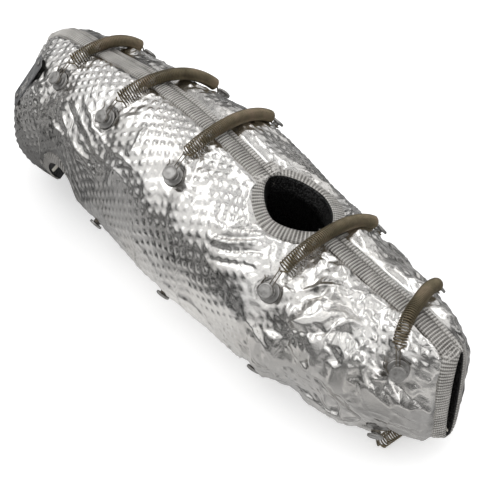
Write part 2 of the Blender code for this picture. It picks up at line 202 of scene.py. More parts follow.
def bottom_edge(x, side):
    depth = station(x, 1 if side == FRONT else 2)
    left = LEFT_EDGE[side]
    first = left + (FIRST_PORT_TOP - left) * bump(x, PORT_FIRST, PORT_HALF, 2.2)
    rise = smooth((x - LEFT_EDGE_END) / LEFT_EDGE_RUN)
    rest = left + (math.pi - left) * rise
    for k in range(1, PORT_COUNT):
        middle = PORT_FIRST + PORT_PITCH * k
        rest = rest - np.arcsin(PORT_DEPTH * bump(x, middle, PORT_HALF, 2.2) / depth)
    return np.where(x < LEFT_EDGE_END, first, rest)


def hem_angle(x, side):
    """The angle that spans the hem's width of the surface."""
    chord = np.linalg.norm(surface(x, 1.05, side) - surface(x, 1.0, side), axis=-1)
    return HEM / np.maximum(chord / 0.05, 25.0)


# ---- mesh helpers -----------------------------------------------------------------
def placed(points):
    return (np.asarray(points, float) + np.array((0, SEAM_Y, 0))) * MM


def mesh_object(name, points, faces, material, body, stands_for=(), smooth_to=40):
    """A piece from millimetre points, riding a body and standing for CAD nodes."""
    mesh = bpy.data.meshes.new(name)
    mesh.from_pydata(placed(points).tolist(), [], faces)
    mesh.validate()
    mesh.shade_smooth()
    if smooth_to:
        mesh.set_sharp_from_angle(angle=math.radians(smooth_to))
    made = bpy.data.objects.new(name, mesh)
    bpy.context.collection.objects.link(made)
    mesh.materials.append(material)
    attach(made, body)
    for node in stands_for:
        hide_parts(node)
    return made


def grid_faces(rows, columns, offset=0, flip=False):
    i, j = np.meshgrid(np.arange(rows - 1), np.arange(columns - 1), indexing="ij")
    a = (offset + i * columns + j).ravel()
    quads = np.stack((a, a + 1, a + columns + 1, a + columns), -1)
    return (quads[:, ::-1] if flip else quads).tolist()


def sheet_mesh(outer, inner, side):
    """Points and faces of a closed sheet between two equal grids."""
    rows, columns = outer.shape[:2]
    count = rows * columns
    points = np.concatenate((outer.reshape(-1, 3), inner.reshape(-1, 3)))
    faces = grid_faces(rows, columns, 0, side == FRONT)
    faces += grid_faces(rows, columns, count, side == BACK)
    rim = [i * columns for i in range(rows)]
    rim += [(rows - 1) * columns + j for j in range(1, columns)]
    rim += [i * columns + columns - 1 for i in range(rows - 2, -1, -1)]
    rim += list(range(columns - 2, 0, -1))
    for a, b in zip(rim, rim[1:] + rim[:1]):
        quad = (a, b, b + count, a + count)
        faces.append(quad if side == BACK else quad[::-1])
    return points, faces


def vector_attribute(obj, name, values):
    data = obj.data.attributes.new(name, "FLOAT_VECTOR", "POINT")
    padded = np.zeros((len(obj.data.vertices), 3), np.float32)
    padded[:, :values.shape[1]] = values
    data.data.foreach_set("vector", padded.ravel())


def run_along(points):
    """Distance along a line of points, from its start."""
    return np.concatenate(([0], np.cumsum(np.linalg.norm(np.diff(points, axis=0), axis=1))))


def tube(points, radius, sides=7):
    """Points and faces of a round wire along points, with closed ends."""
    points = np.asarray(points, float)
    ahead = np.gradient(points, axis=0)
    ahead /= np.linalg.norm(ahead, axis=1, keepdims=True)
    hint = np.array((1.0, 0.1, 0.05))
    rings = []
    angles = np.linspace(0, 2 * math.pi, sides, endpoint=False)
    for point, direction in zip(points, ahead):
        across = hint - direction * hint.dot(direction)
        across /= np.linalg.norm(across)
        hint = across
        up = np.cross(direction, across)
        rings.append(point + radius * (np.outer(np.cos(angles), across)
                                       + np.outer(np.sin(angles), up)))
    faces = []
    for k in range(len(points) - 1):
        for n in range(sides):
            m = (n + 1) % sides
            faces.append((k * sides + n, k * sides + m,
                          (k + 1) * sides + m, (k + 1) * sides + n))
    faces.append(tuple(range(sides))[::-1])
    faces.append(tuple(range((len(points) - 1) * sides, len(points) * sides)))
    return np.concatenate(rings), faces


def joined(*parts):
    points, faces, start = [], [], 0
    for some_points, some_faces in parts:
        points.append(np.asarray(some_points))
        faces += [tuple(v + start for v in face) for face in some_faces]
        start += len(some_points)
    return np.concatenate(points), faces


def turned(profile, base, axis, sides=40):
    """Points and faces of a (radius, height) outline turned about an axis."""
    turn = np.array(Vector(axis).to_track_quat("Z", "Y").to_matrix())
    angles = np.linspace(0, 2 * math.pi, sides, endpoint=False)
    points = [np.asarray(base, float) + turn @ np.array((0, 0, profile[0][1]))]
    for radius, height in profile[1:-1]:
        ring = np.stack((radius * np.cos(angles), radius * np.sin(angles),
                         np.full(sides, height)), -1)
        points.extend(ring @ turn.T + base)
    points.append(np.asarray(base, float) + turn @ np.array((0, 0, profile[-1][1])))
    faces = []
    last = len(profile) - 3
    for n in range(sides):
        m = (n + 1) % sides
        faces.append((0, 1 + m, 1 + n))
        for k in range(last):
            low, high = 1 + k * sides, 1 + (k + 1) * sides
            faces.append((low + n, low + m, high + m, high + n))
        top = 1 + last * sides
        faces.append((top + n, top + m, len(points) - 1))
    return np.array(points), faces


# ---- materials ----------------------------------------------------------------------
class Nodes:
    """Short names for building one material's nodes."""

    def __init__(self, name, colour, roughness, metallic):
        self.material = bpy.data.materials.new(name)
        self.material.use_nodes = True
        self.tree = self.material.node_tree
        self.shader = self.tree.nodes["Principled BSDF"]
        self.shader.inputs["Base Color"].default_value = (*colour, 1)
        self.shader.inputs["Roughness"].default_value = roughness
        self.shader.inputs["Metallic"].default_value = metallic
        self.place = self.add("ShaderNodeTexCoord").outputs["Object"]

    def add(self, kind, **inputs):
        node = self.tree.nodes.new(kind)
        for name, value in inputs.items():
            self.feed(node.inputs[name.replace("_", " ")], value)
        return node

    def feed(self, socket, value):
        if isinstance(value, bpy.types.NodeSocket):
            self.tree.links.new(value, socket)
        else:
            socket.default_value = value

    def noise(self, scale, detail=4.0, roughness=0.6, place=None):
        node = self.add("ShaderNodeTexNoise", Scale=scale, Detail=detail, Roughness=roughness)
        self.feed(node.inputs["Vector"], place or self.place)
        return node.outputs["Fac"]

    def ramp(self, value, stops):
        node = self.add("ShaderNodeValToRGB", Fac=value)
        low, high = node.color_ramp.elements
        low.position, low.color = stops[0][0], (*stops[0][1], 1)
        high.position, high.color = stops[-1][0], (*stops[-1][1], 1)
        for position, colour in stops[1:-1]:
            extra = node.color_ramp.elements.new(position)
            extra.color = (*colour, 1)
        return node.outputs["Color"]

    def span(self, value, low, high, to_low, to_high):
        node = self.add("ShaderNodeMapRange")
        for index, number in enumerate((value, low, high, to_low, to_high)):
            self.feed(node.inputs[index], number)
        return node.outputs[0]

    def maths(self, operation, first, second=0.0):
        node = self.add("ShaderNodeMath")
        node.operation = operation
        self.feed(node.inputs[0], first)
        self.feed(node.inputs[1], second)
        return node.outputs[0]

    def attribute(self, name):
        node = self.add("ShaderNodeAttribute")
        node.attribute_name = name
        return node.outputs["Vector"]

    def split(self, vector):
        return self.add("ShaderNodeSeparateXYZ", Vector=vector).outputs

    def colour(self, value):
        self.feed(self.shader.inputs["Base Color"], value)

    def roughness(self, value):
        self.feed(self.shader.inputs["Roughness"], value)

    def relief(self, *layers):
        """Stack bumps: (height, strength, distance in metres)."""
        normal = None
        for height, strength, distance in layers:
            node = self.add("ShaderNodeBump", Strength=strength, Distance=distance)
            self.feed(node.inputs["Height"], height)
            if normal is not None:
                self.feed(node.inputs["Normal"], normal)
            normal = node.outputs["Normal"]
        self.feed(self.shader.inputs["Normal"], normal)


def grey(value, warmth=0.0):
    return (value * (1 + warmth), value, value * (1 - 1.5 * warmth))


def foil_material():
    m = Nodes("foil", grey(0.8), 0.2, 1.0)
    stain = m.noise(16.0, 5.0)
    m.colour(m.ramp(stain, ((0.3, grey(0.60, 0.03)), (0.55, grey(0.70, 0.02)),
                            (0.75, grey(0.78, 0.015)))))
    handled = m.noise(42.0, 6.0, 0.65)
    m.roughness(m.span(handled, 0.3, 0.75, 0.11, 0.32))
    m.relief((m.noise(260.0, 4.0, 0.6), 0.35, 0.0006),
             (m.noise(1500.0, 3.0, 0.6), 0.12, 0.00012))
    return m.material


def knit_material(name, dark, light):
    """Knitted wire tape: ribs across the strip, loops along each rib."""
    m = Nodes(name, grey(light), 0.45, 0.6)
    along, across, _ = m.split(m.attribute("strip"))
    ribs = m.maths("COSINE", m.maths("MULTIPLY", along, 2 * math.pi / RIB))
    slant = m.maths("MULTIPLY", m.maths("ABSOLUTE", ribs), 0.9)
    loops = m.maths("SINE", m.maths("ADD", m.maths("MULTIPLY", across,
                                                   2 * math.pi / COURSE), slant))
    weave = m.maths("ADD", m.maths("MULTIPLY", ribs, 0.7), m.maths("MULTIPLY", loops, 0.3))
    # colour follows the weave's height: painted shade in the grooves between ribs and loops, the
    # wire's light grey on their crowns, plus random tone
    weave_painted_shade = m.maths("ADD", m.span(weave, -1.0, 1.0, 0.0, 0.8),
                    m.span(m.noise(90.0), 0.3, 0.7, -0.05, 0.25))
    m.colour(m.ramp(weave_painted_shade, ((0.1, grey(dark, 0.05)), (0.45, grey((dark + light) / 2, 0.04)),
                            (0.85, grey(light, 0.03)))))
    m.roughness(m.span(m.noise(600.0), 0.3, 0.7, 0.3, 0.55))
    m.relief((weave, 0.8, 0.0004), (m.noise(2200.0, 2.0), 0.3, 0.0002))
    return m.material


def blanket_material():
    m = Nodes("glass_fibre", (0.7, 0.67, 0.6), 0.95, 0.0)
    fibres = m.noise(900.0, 8.0, 0.7)
    m.colour(m.ramp(fibres, ((0.3, (0.42, 0.39, 0.33)), (0.7, (0.78, 0.75, 0.68)))))
    m.relief((fibres, 0.9, 0.001), (m.noise(160.0), 0.5, 0.002))
    return m.material


def liner_material():
    # near-black on purpose: painted shade for the hollow and for the cut rims the lips wrap, with
    # a faint wire pattern over it
    m = Nodes("liner_mesh_painted_shade", grey(0.05), 0.5, 0.8)
    wires = m.add("ShaderNodeTexVoronoi", Scale=700.0)
    m.feed(wires.inputs["Vector"], m.place)
    m.colour(m.ramp(wires.outputs["Distance"], ((0.1, grey(0.09)), (0.6, grey(0.012)))))
    m.relief((wires.outputs["Distance"], 0.7, 0.0006))
    return m.material


def spring_material():
    m = Nodes("heat_tinted_spring", (0.2, 0.16, 0.11), 0.4, 0.9)
    tint = m.noise(55.0, 4.0)
    m.colour(m.ramp(tint, ((0.3, (0.13, 0.11, 0.072)), (0.5, (0.21, 0.175, 0.115)),
                           (0.72, (0.29, 0.225, 0.16)))))
    m.roughness(m.span(m.noise(500.0), 0.3, 0.7, 0.3, 0.5))
    m.relief((m.noise(1800.0, 3.0), 0.25, 0.0001))
    return m.material


def wire_material():
    m = Nodes("annealed_wire", (0.3, 0.27, 0.23), 0.4, 0.9)
    m.colour(m.ramp(m.noise(120.0), ((0.3, (0.14, 0.12, 0.10)), (0.7, (0.36, 0.33, 0.28)))))
    m.relief((m.noise(1500.0, 2.0), 0.2, 0.0001))
    return m.material


def stud_material():
    m = Nodes("turned_stud", grey(0.42), 0.42, 0.85)
    grime = m.noise(220.0, 5.0, 0.65)
    m.colour(m.ramp(grime, ((0.3, grey(0.20, 0.04)), (0.5, grey(0.36, 0.02)),
                            (0.75, grey(0.48, 0.02)))))
    m.roughness(m.span(grime, 0.3, 0.7, 0.55, 0.38))
    m.relief((m.noise(1300.0, 4.0), 0.35, 0.00015))
    return m.material


def plate_material():
    m = Nodes("blank_plate", grey(0.16), 0.35, 0.9)
    worn = m.noise(110.0, 6.0, 0.7)
    m.colour(m.ramp(worn, ((0.35, grey(0.16, -0.02)), (0.52, grey(0.30, -0.01)),
                           (0.7, grey(0.46)))))
    m.roughness(m.span(m.noise(330.0, 6.0), 0.3, 0.7, 0.25, 0.5))
    m.relief((worn, 0.3, 0.0003), (m.noise(1600.0, 3.0), 0.3, 0.0001))
    return m.material


FOIL_LOOK = foil_material()
# 0.10 is the painted shade in the knit's grooves, 0.66 the wire's own grey on the crowns
KNIT_LOOK = knit_material("knitted_hem", 0.10, 0.66)
BLANKET_LOOK = blanket_material()
LINER_PAINTED_SHADE_LOOK = liner_material()
SPRING_LOOK = spring_material()
WIRE_LOOK = wire_material()
STUD_LOOK = stud_material()
PLATE_LOOK = plate_material()

# ---- relief of the foil -------------------------------------------------------------
SKIN_COLUMNS, SKIN_ROWS = 470, 230
EMBOSS_PITCH, EMBOSS_HEIGHT = 7.8, 1.15
EMBOSS_TURN = {FRONT: math.radians(-29), BACK: math.radians(-22)}


def facets(x, s, spacing, seed):
    """A crumpled height field, -1 to 1: random heights, flat between them."""
    random = np.random.default_rng(seed)
    xs = np.arange(-HALF_LENGTH - 3 * spacing, HALF_LENGTH + 3 * spacing, spacing)
    ss = np.arange(-3 * spacing, s.max() + 3 * spacing, spacing)
    centres = np.stack(np.meshgrid(xs, ss, indexing="ij"), -1).reshape(-1, 2)
    centres = centres + random.uniform(-0.48, 0.48, centres.shape) * spacing
    heights = random.uniform(-1.0, 1.0, len(centres))
    flat = [Vector((float(a), float(b))) for a, b in centres]
    made, _, triangles, *_ = delaunay_2d_cdt(flat, [], [], 0, 1e-6)
    tree = BVHTree.FromPolygons(
        [(v.x, v.y, float(heights[k])) for k, v in enumerate(made)], triangles)
    down, out = Vector((0, 0, -1)), np.zeros(x.size)
    for k, (a, b) in enumerate(zip(x.ravel().tolist(), s.ravel().tolist())):
        hit = tree.ray_cast(Vector((a, b, 5.0)), down)[0]
        out[k] = hit.z if hit else 0.0
    return out.reshape(x.shape)


def waves(x, s, spacing, seed, count=9):
    """Gentle random waves, about -1 to 1."""
    random = np.random.default_rng(seed)
    total = np.zeros_like(x)
    for _ in range(count):
        turn = random.uniform(0, 2 * math.pi)
        length = spacing * random.uniform(0.7, 1.5)
        phase = random.uniform(0, 2 * math.pi)
        total += np.sin((x * math.cos(turn) + s * math.sin(turn)) * 2 * math.pi / length + phase)
    return total / math.sqrt(count)


def embossing(x, s, side):
    """Square pyramids on flat ground, in rows turned against the jacket's length."""
    turn = EMBOSS_TURN[side]
    across = (x * math.cos(turn) + s * math.sin(turn)) / EMBOSS_PITCH
    down = (-x * math.sin(turn) + s * math.cos(turn)) / EMBOSS_PITCH
    near = np.maximum(np.abs(across - np.round(across)), np.abs(down - np.round(down)))
    return np.clip(1.0 - near / 0.33, 0.0, 0.72)


def fold(x, s, start, end, height, width, bow=0.0):
    """A long pinched ridge or furrow from start to end, which may bow sideways."""
    (x0, s0), (x1, s1) = start, end
    length = math.hypot(x1 - x0, s1 - s0)
    ux, us = (x1 - x0) / length, (s1 - s0) / length
    along = ((x - x0) * ux + (s - s0) * us) / length
    off = -(x - x0) * us + (s - s0) * ux - bow * 4 * along * (1 - along)
    ends = np.clip(np.minimum(along, 1 - along) * 5, 0, 1)
    return height * ends * np.exp(-np.abs(off) / width)


# folds of each half: x and arc length from the seam at start and end, height, width, bow
LONG_FOLDS = {
    FRONT: (
        (-150, 70, -60, 105, 2.6, 2.6, 6), (-138, 56, -32, 88, 2.2, 2.4, 8),
        (-156, 82, -84, 96, 2.4, 2.2, 3), (-146, 62, -50, 92, -2.0, 2.8, 7),
        (-162, 76, -70, 112, 1.8, 2.2, 4), (-130, 48, -24, 74, 1.5, 2.0, 8),
        (-44, 44, -44, 72, 2.0, 1.8, 0), (-44, 72, -54, 104, 1.6, 1.8, 0),
        (84, 30, 66, 88, 1.6, 5.0, 0),
        (62, 62, 100, 40, -3.0, 1.7, 1), (66, 70, 104, 48, -3.2, 1.7, -1),
        (66, 78, 116, 52, -3.0, 1.7, 1), (72, 84, 120, 62, -2.6, 1.7, 1),
        (58, 66, 92, 44, 2.2, 2.2, 0), (64, 74, 108, 50, 2.2, 2.2, 0),
        (60, 150, 250, 128, 2.6, 3.2, 5), (80, 136, 256, 116, 2.2, 3.0, -4),
        (96, 126, 246, 108, -2.2, 2.6, 3), (40, 164, 230, 142, 2.2, 3.4, 5),
        (30, 140, 150, 134, 1.8, 3.0, 2), (176, 122, 262, 100, 2.4, 2.2, 2),
        (188, 88, 208, 38, 4.6, 3.6, -4), (200, 92, 216, 40, 3.6, 2.6, 4),
        (158, 74, 200, 40, 4.4, 3.4, 3), (146, 92, 196, 60, -3.0, 2.4, -2),
        (150, 50, 186, 20, 3.4, 2.6, 2), (120, 96, 158, 108, 2.4, 2.4, -2),
        (-20, 120, 60, 140, 1.4, 3.4, 3), (-100, 130, 10, 150, 1.5, 3.4, 4),
    ),
    BACK: (
        (116, 14, 132, 60, 1.8, 1.8, 1), (124, 14, 142, 58, 1.8, 1.8, 1),
        (132, 14, 150, 56, 1.6, 1.8, 1), (100, 26, 112, 66, 1.4, 1.8, 1),
        (-120, 30, -30, 76, 2.0, 3.2, 5), (-30, 24, 40, 62, 1.6, 3.0, -5),
        (150, 36, 240, 62, 2.4, 2.6, 4), (-200, 60, -120, 92, 2.2, 2.8, 4),
        (0, 90, 120, 120, 2.2, 3.2, 4), (-150, 110, -20, 126, 2.0, 3.0, -5),
        (130, 100, 240, 84, 2.2, 2.8, 4),
    ),
}


def stud_places(side):
    """x and angle of every stud of a half."""
    if side == FRONT:
        tops = [(xf, af) for xf, af, _, _ in TOP_LACING]
        return tops + [(x, LOWER_FRONT) for x in LOWER_X]
    tops = [(xb, ab) for _, _, xb, ab in TOP_LACING]
    return tops + [(x, LOWER_BACK) for x in LOWER_X]


def relief(x, s, stud_points, edge, side):
    """Height of the foil above the solids' outer face."""
    sway_x = x + 3.0 * waves(x, s, 60, 11 + side)
    sway_s = s + 3.0 * waves(x, s, 55, 23 + side)
    if side == FRONT:
        rough = 0.30 + 0.85 * smooth((x - 92) / 60) + 0.25 * smooth((-140 - x) / 60)
    else:
        rough = 0.55 + 0.4 * smooth((x - 110) / 60) + 0.1 * smooth((-60 - x) / 60)
    rough = rough + 0.15 * waves(x, s, 90, 5 + side)
    pull = np.zeros_like(x)
    ripples = np.zeros_like(x)
    clear = np.ones_like(x)
    random = np.random.default_rng(77 + side)
    for sx, ss in stud_points:
        away = np.hypot(x - sx, s - ss)
        bearing = np.arctan2(s - ss, x - sx) + 0.25 * waves(x, s, 30, 61 + side, 4)
        pull = np.maximum(pull, np.exp(-(away / 26.0) ** 2))
        spokes = np.zeros_like(x)
        for _ in range(4):
            aim, wide = random.uniform(-math.pi, math.pi), random.uniform(0.08, 0.2)
            turn = np.abs((bearing - aim + math.pi) % (2 * math.pi) - math.pi)
            spokes += random.uniform(0.5, 1.0) * np.exp(-turn / wide)
        ripples += spokes * np.exp(-away / random.uniform(18, 30)) * smooth((away - 7) / 8)
        clear = np.minimum(clear, smooth((away - 7.0) / 6.0))
    rough = np.clip(rough + 0.45 * pull, 0.1, 1.3)
    height = 1.8 + 1.4 * (1 - pull) + 2.2 * ripples
    height += rough * 3.4 * facets(sway_x, sway_s, 38.0, 101 + side)
    height += rough**1.3 * 2.8 * facets(sway_x, sway_s, 16.0, 202 + side)
    height += rough**1.5 * 1.6 * facets(x, s, 8.5, 303 + side)
    for x0, s0, x1, s1, high, width, bow in LONG_FOLDS[side]:
        height += fold(sway_x, sway_s, (x0, s0), (x1, s1), high, width, bow)
    height = (height + np.sqrt(height**2 + 3.0)) / 2
    kept = np.clip(0.9 + 0.3 * waves(x, s, 70, 47 + side) - 0.2 * rough, 0.35, 1.1)
    height += EMBOSS_HEIGHT * kept * embossing(sway_x * 0.3 + x * 0.7,
                                               sway_s * 0.3 + s * 0.7, side)
    height = np.minimum(height, 8.0) * clear
    return height * smooth((edge - HEM * 0.6) / (HEM * 0.9)) - 0.25 * (1 - clear)


def arc_lengths(x, side, count=160):
    """Angles and the arc length from the top seam to each, down the section at x."""
    angles = np.linspace(0, math.pi, count)
    points = surface(x[:, None], angles[None, :], side)
    steps = np.linalg.norm(np.diff(points, axis=1), axis=2)
    return angles, np.concatenate((np.zeros((len(x), 1)), np.cumsum(steps, 1)), 1)


def even_grid(side, columns, rows):
    """x, angle and arc length of an even grid over a half, and the distance to its edge.

    Columns stand closer together towards the rounded ends.
    """
    tip = HALF_LENGTH - 0.6
    turn = np.sin(np.linspace(-math.pi / 2, math.pi / 2, columns)) * tip
    even = np.linspace(-tip, tip, columns)
    x = 0.3 * turn + 0.7 * even
    angles, lengths = arc_lengths(x, side)
    start, end = top_edge(x, side), bottom_edge(x, side)
    grid_angle, grid_s, edge = (np.zeros((columns, rows)) for _ in range(3))
    for k in range(columns):
        first = np.interp(start[k], angles, lengths[k])
        last = np.interp(end[k], angles, lengths[k])
        grid_s[k] = np.linspace(first, last, rows)
        grid_angle[k] = np.interp(grid_s[k], lengths[k], angles)
        edge[k] = np.minimum(grid_s[k] - first, last - grid_s[k])
    wide = np.repeat(x[:, None], rows, 1)
    points = surface(wide, grid_angle, side)
    steps = np.linalg.norm(np.diff(points, axis=0), axis=2)
    steps = np.concatenate((np.zeros((1, rows)), steps))
    from_left = np.cumsum(steps, 0)
    edge = np.minimum(edge, np.minimum(from_left, from_left[-1] - from_left))
    return wide, grid_angle, grid_s, edge


def foil_skin(half, side):
    x, angle, s, edge = even_grid(side, SKIN_COLUMNS, SKIN_ROWS)
    places = np.array(stud_places(side))
    angles, lengths = arc_lengths(places[:, 0], side)
    studs = [(px, np.interp(math.radians(a), angles, row))
             for (px, a), row in zip(places, lengths)]
    height = relief(x, s, studs, edge, side)
    points = surface(x, angle, side) + outward(x, angle, side) * height[..., None]
    limit = side * (SEAM_GAP + 0.1)
    points[..., 1] = np.minimum(points[..., 1], limit) if side == FRONT else np.maximum(
        points[..., 1], limit)
    faces = grid_faces(SKIN_COLUMNS, SKIN_ROWS, 0, side == FRONT)
    return mesh_object(f"{half}_foil_skin", points.reshape(-1, 3), faces, FOIL_LOOK,
                       f"{half}_half", [f"{half}_outer_foil"], 0)


def layer(name, half, side, inset, thickness, material, node, columns, rows):
    """An inner layer of a half, as a closed sheet."""
    x, angle, _, _ = even_grid(side, columns, rows)
    outer = surface(x, angle, side, inset)
    inner = surface(x, angle, side, inset + thickness)
    points, faces = sheet_mesh(outer, inner, side)
    piece = mesh_object(name, points, faces, material, f"{half}_half", [node])
    cells = np.linalg.norm(np.cross(outer[1:, :-1] - outer[:-1, :-1],
                                    outer[:-1, 1:] - outer[:-1, :-1]), axis=2)
    return piece, float(cells.sum()) * MM * MM


# ---- knitted hems ----------------------------------------------------------------------
HEM_ROWS = 13


def walk(x, angle, side, step, aim):
    """Move points of the surface by step, square to the line they lie on."""
    here = surface(x, angle, side)
    along = np.gradient(here, axis=0)
    along /= np.linalg.norm(along, axis=1, keepdims=True)
    square = np.cross(outward(x, angle, side), along)
    square /= np.maximum(np.linalg.norm(square, axis=1, keepdims=True), 1e-9)
    square *= np.sign(np.sum(square * aim, axis=1, keepdims=True)) * step
    by_x = (surface(x + 0.05, angle, side) - surface(x - 0.05, angle, side)) / 0.1
    by_angle = (surface(x, angle + 0.001, side) - surface(x, angle - 0.001, side)) / 0.002
    xx, xa, aa = ((p * q).sum(1) for p, q in ((by_x, by_x), (by_x, by_angle),
                                              (by_angle, by_angle)))
    bx, ba = (by_x * square).sum(1), (by_angle * square).sum(1)
    det = np.maximum(xx * aa - xa * xa, 1e-6)
    limit = HALF_LENGTH - 0.3
    moved = np.clip(x + (bx * aa - ba * xa) / det, -limit, limit)
    return moved, angle + (ba * xx - bx * xa) / det


def hem(name, node, half, side, x, angle, inward, width=HEM, lift=0.4):
    """A ribbed knitted strip from an edge of a half, inward over the foil."""
    for _ in range(2):
        line = surface(x, angle, side)
        run = run_along(line)
        count = max(int(run[-1] / (RIB / 5)), 8)
        even = np.linspace(0, run[-1], count)
        x, angle = np.interp(even, run, x), np.interp(even, run, angle)
    random = np.random.default_rng(len(name) + len(node))
    wander = np.convolve(random.uniform(-1, 1, count + 60), np.ones(61) / 61, "valid")[:count]
    share = np.linspace(0, 1, HEM_ROWS)
    places, xs, angles = [], x, angle
    aim = surface(*inward(x, angle), side) - surface(x, angle, side)
    for _ in share:
        places.append((xs, angles))
        xs, angles = walk(xs, angles, side, width / (HEM_ROWS - 1), aim)
    base = np.stack([surface(a, b, side) for a, b in places], 1)
    normal = np.stack([outward(a, b, side) for a, b in places], 1)
    crown = (1 - (2 * share - 1) ** 6)[None, :]
    rib = (0.5 + 0.5 * np.cos(even * 2 * math.pi / RIB))[:, None]
    wave = np.sin(even / 11.0 + wander * 12)[:, None] * 0.5 * share[None, :]
    loops = np.cos(share * width * 2 * math.pi / 3.0)[None, :] * 0.12
    high = lift + crown * (0.5 + 0.75 * rib) + loops * rib + wave + 0.3
    outer = base + normal * high[..., None]
    inner = base + normal * (lift - 0.5)
    points, faces = sheet_mesh(outer, inner, BACK)
    piece = mesh_object(name, points, faces, KNIT_LOOK, f"{half}_half", [node],
                        0)
    u = np.repeat(even[:, None], HEM_ROWS, 1)
    v = np.repeat(share[None, :] * width, count, 0)
    strip = np.stack((u, v), -1).reshape(-1, 2)
    vector_attribute(piece, "strip", np.concatenate((strip, strip)))
    return piece


def edge_hem(name, node, half, side, x0, x1, top, width=HEM, lift=0.4, start=0.0):
    """Hem along a half's top or bottom edge, from x0 to x1."""
    x = np.linspace(x0, x1, 600)
    sign = 1 if top else -1
    edge = (top_edge(x, side) if top else bottom_edge(x, side))
    edge = edge + sign * hem_angle(x, side) * start / HEM
    return hem(name, node, half, side, x, edge, lambda a, b: (a, b + sign * 0.05), width, lift)


def end_hem(name, node, half, side, sign):
    """Hem down one rounded end of a half."""
    x = sign * (HALF_LENGTH - 0.7)
    start, end = top_edge(np.array([x]), side)[0], bottom_edge(np.array([x]), side)[0]
    angle = np.linspace(start, end, 200)
    return hem(name, node, half, side, np.full(200, x), angle,
               lambda a, b: (a - sign * 0.4, b), HEM, 0.7)


def cut_lip(name, node, half, side, x, angle, outside):
    """Liner wrapped over a cut edge of the blanket, from the foil to the hollow; its near-black
    colour is painted shade on the rim.

    outside moves x and angle past the edge. The lip stands proud of the cut, but by less
    where the two halves meet.
    """
    wall = FOIL + LAYER_GAP * 2 + BLANKET + INNER_MESH
    depths = np.array((-0.2, 1.0, 5.0, 10.0, wall + 0.2))
    front = np.stack([surface(x, angle, side, d) for d in depths], 1)
    away = surface(*outside(x, angle), side)[:, None, :] - surface(x, angle, side)[:, None, :]
    away = away / np.maximum(np.linalg.norm(away, axis=-1, keepdims=True), 1e-9)
    proud = 0.15 + 0.65 * smooth((np.abs(front[..., 1:2]) - 1.0) / 4.0)
    outer, inner = front + away * proud, front - away * 0.1
    points, faces = sheet_mesh(outer, inner, BACK)
    return mesh_object(name, points, faces, LINER_PAINTED_SHADE_LOOK, f"{half}_half", [node], 0)


def cut_lips(half, side):
    """Lips for the seam and outlet, the ports and the ends of a half."""
    node = f"{half}_inner_mesh"
    tip = HALF_LENGTH - 0.7
    x = np.linspace(-tip, tip, 700)
    top, bottom = top_edge(x, side), bottom_edge(x, side)
    lips = [cut_lip(f"{half}_lip_seam", node, half, side, x, top, lambda a, b: (a, b - 0.02)),
            cut_lip(f"{half}_lip_ports", node, half, side, x, bottom,
                    lambda a, b: (a, b + 0.02))]
    for name, sign in (("left", -1), ("right", 1)):
        end = np.full(120, sign * tip)
        first = top_edge(end[:1], side)[0]
        last = bottom_edge(end[:1], side)[0]
        lips.append(cut_lip(f"{half}_lip_end_{name}", node, half, side, end,
                            np.linspace(first, last, 120), lambda a, b: (a + sign * 0.3, b)))
    return lips


# ---- lacing -------------------------------------------------------------------------------
def stud_frame(x, degrees, side):
    """Base, axis and middle of the neck of a stud."""
    angle = math.radians(degrees)
    axis = outward(x, angle, side)
    base = surface(x, angle, side) + axis * STUD_LIFT
    return base, axis, base + axis * (FLANGE_T + NECK_L / 2)


def stud(node, body, x, degrees, side):
    """A flanged stud turned about the surface's outward direction."""
    base, axis, neck = stud_frame(x, degrees, side)
    flange, thin, head = FLANGE_D / 2, NECK_D / 2, HEAD_D / 2
    under = FLANGE_T + NECK_L
    top = under + HEAD_T
    washer = [(0, -0.5), (flange - 0.6, -0.5), (flange, -0.2), (flange, 0.3),
              (flange - 0.5, FLANGE_T - 0.2), (flange * 0.62, FLANGE_T),
              (flange * 0.55, FLANGE_T + 0.5), (thin + 0.5, FLANGE_T + 0.6),
              (thin, FLANGE_T + 0.9), (thin, under - 0.8), (thin + 0.4, under - 0.2),
              (head - 0.5, under), (head - 0.1, under + 0.15), (head, under + 0.5),
              (head, top - 0.8), (head - 0.25, top - 0.3), (head - 0.9, top),
              (head - 1.5, top - 0.05), (head - 1.8, top - 0.28), (1.6, top - 0.2),
              (1.2, top - 0.1), (0, top - 0.08)]
    points, faces = turned(washer, base, axis)
    mesh_object(f"{node}_turned", points, faces, STUD_LOOK, body, [node], 30)
    return base, axis, neck


def section_route(front, back, over, ride, steps=60):
    """Points off the surface from a front stud round the section to a rear one."""
    (xf, af), (xb, ab) = front, back
    close = 0.0 if over else math.pi
    total = abs(af - close) + abs(ab - close)
    travelled = np.linspace(0, total, steps + 1)
    x = xf + (xb - xf) * travelled / total
    ahead = travelled < abs(af - close)
    sign = -1 if over else 1
    front_angle = af + sign * travelled
    rear = travelled - abs(af - close)
    rear_angle = rear if over else math.pi - rear
    points = []
    for k in range(steps + 1):
        angle, side = (front_angle[k], FRONT) if ahead[k] else (rear_angle[k], BACK)
        points.append(surface(x[k], angle, side) + outward(x[k], angle, side) * ride)
    return np.array(points)


def resample(points, start, end, count):
    """Even points along a line, leaving out start and end millimetres of it."""
    run = run_along(points)
    even = np.linspace(start, run[-1] - end, count)
    return np.stack([np.interp(even, run, points[:, k]) for k in range(3)], -1)


def unit(vector):
    return vector / np.linalg.norm(vector)


def eased(points, count=10):
    """A smooth curve through a few given points."""
    points = np.asarray(points, float)
    padded = np.vstack((2 * points[0] - points[1], points, 2 * points[-1] - points[-2]))
    out = []
    for k in range(1, len(padded) - 2):
        p0, p1, p2, p3 = padded[k - 1:k + 3]
        for t in np.linspace(0, 1, count, endpoint=False):
            out.append(0.5 * (2 * p1 + (p2 - p0) * t + (2 * p0 - 5 * p1 + 4 * p2 - p3) * t**2
                              + (3 * p1 - p0 - 3 * p2 + p3) * t**3))
    out.append(points[-1])
    return np.array(out)


